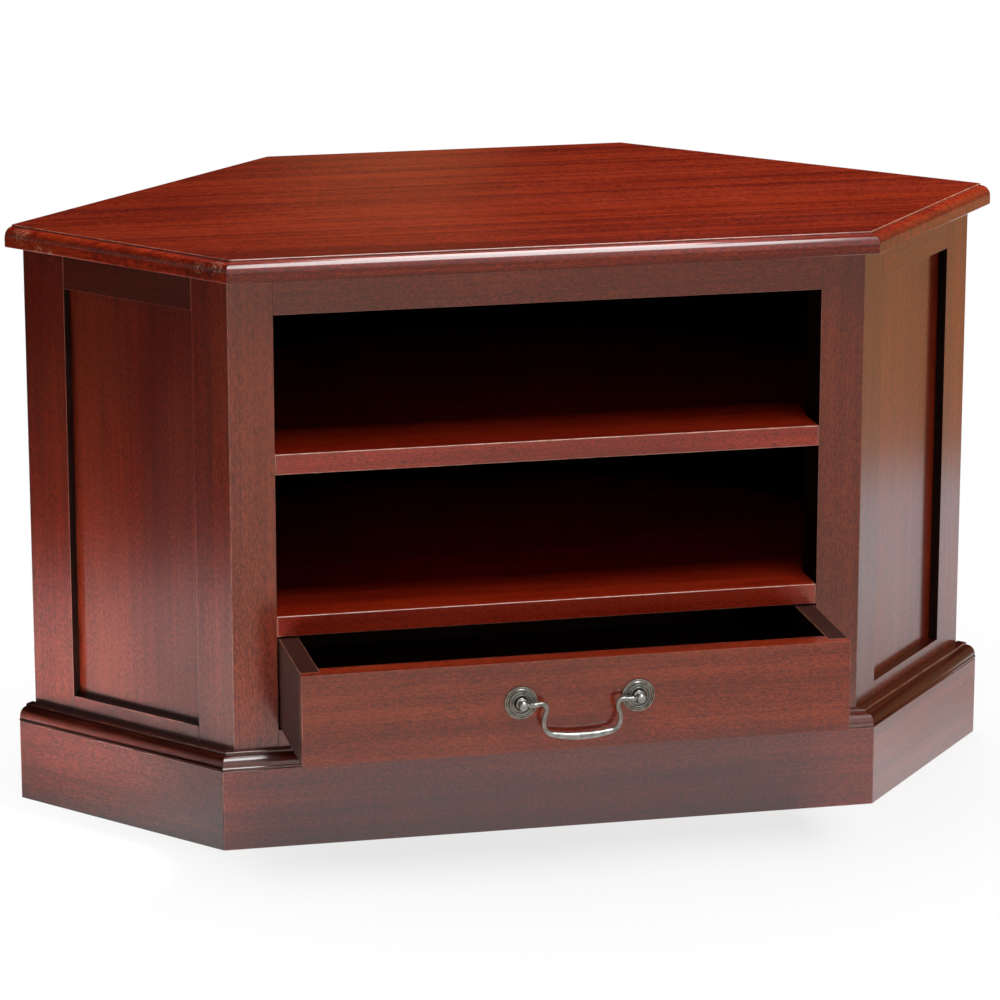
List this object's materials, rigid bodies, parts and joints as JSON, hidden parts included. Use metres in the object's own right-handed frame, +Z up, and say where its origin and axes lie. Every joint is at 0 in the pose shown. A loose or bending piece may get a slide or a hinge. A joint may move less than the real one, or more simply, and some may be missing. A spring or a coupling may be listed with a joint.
{
  "type": "corner tv cabinet",
  "caption": "Six-sided corner cabinet with moulded top slab, framed side panels, two open bays over a sliding drawer with a drop bail handle, and a moulded plinth.",
  "frame": {"origin": "on the floor, below the middle of the whole cabinet's box with the drawer open as at rest", "axes": "+Z up, +X to the right along the front as seen by someone facing it, +Y from the front towards the room's corner"},
  "size_m": [1.0314, 0.6552, 0.6],
  "materials": {
    "lacquered_hardwood": "red-brown stain under satin lacquer",
    "stained_hardwood": "dark stain, unpolished",
    "plywood": "thin stained plywood",
    "softwood": "planed, unfinished",
    "pewter": "antique pewter plating over cast brass",
    "steel": "zinc plated"
  },
  "bodies": {
    "carcass": {"top_slab": "lacquered_hardwood", "front_post_right": "lacquered_hardwood", "front_post_left": "lacquered_hardwood", "rear_post_right": "lacquered_hardwood", "rear_post_left": "lacquered_hardwood", "back_post_right": "lacquered_hardwood", "back_post_left": "lacquered_hardwood", "front_top_rail": "lacquered_hardwood", "front_bottom_rail": "lacquered_hardwood", "side_top_rail_right": "lacquered_hardwood", "side_top_rail_left": "lacquered_hardwood", "side_bottom_rail_right": "lacquered_hardwood", "side_bottom_rail_left": "lacquered_hardwood", "side_panel_right": "lacquered_hardwood", "side_panel_left": "lacquered_hardwood", "wall_top_rail_right": "stained_hardwood", "wall_top_rail_left": "stained_hardwood", "wall_bottom_rail_right": "stained_hardwood", "wall_bottom_rail_left": "stained_hardwood", "wall_panel_right": "plywood", "wall_panel_left": "plywood", "back_top_rail": "stained_hardwood", "back_bottom_rail": "stained_hardwood", "back_panel": "plywood", "middle_shelf": "lacquered_hardwood", "lower_shelf": "lacquered_hardwood", "middle_shelf_side_batten_right": "softwood", "middle_shelf_side_batten_left": "softwood", "middle_shelf_wall_batten_right": "softwood", "middle_shelf_wall_batten_left": "softwood", "lower_shelf_side_batten_right": "softwood", "lower_shelf_side_batten_left": "softwood", "lower_shelf_wall_batten_right": "softwood", "lower_shelf_wall_batten_left": "softwood", "top_cleat_right": "softwood", "top_cleat_left": "softwood", "plinth_front": "lacquered_hardwood", "plinth_side_right": "lacquered_hardwood", "plinth_side_left": "lacquered_hardwood", "plinth_moulding_front": "lacquered_hardwood", "plinth_moulding_side_right": "lacquered_hardwood", "plinth_moulding_side_left": "lacquered_hardwood", "drawer_runner_right": "softwood", "drawer_runner_left": "softwood", "drawer_guide_right": "softwood", "drawer_guide_left": "softwood", "runner_cross_rail": "softwood"},
    "drawer": {"drawer_front": "lacquered_hardwood", "drawer_side_right": "lacquered_hardwood", "drawer_side_left": "lacquered_hardwood", "drawer_back": "stained_hardwood", "drawer_bottom": "plywood", "handle_rosette_right": "pewter", "handle_rosette_left": "pewter", "handle_post_right": "pewter", "handle_post_left": "pewter", "handle_nut_right": "steel", "handle_nut_left": "steel"},
    "bail": {"handle_bail": "pewter"}
  },
  "joints": [
    {"name": "drawer_slide", "type": "slide", "parent": "carcass", "child": "drawer", "axis": [0, -1, 0], "range_m": [-0.129, 0.1]},
    {"name": "bail_swing", "type": "hinge", "parent": "drawer", "child": "bail", "pos_m": [0, -0.3224, 0.1705], "axis": [-1, 0, 0], "range_deg": [-14, 194]}
  ]
}
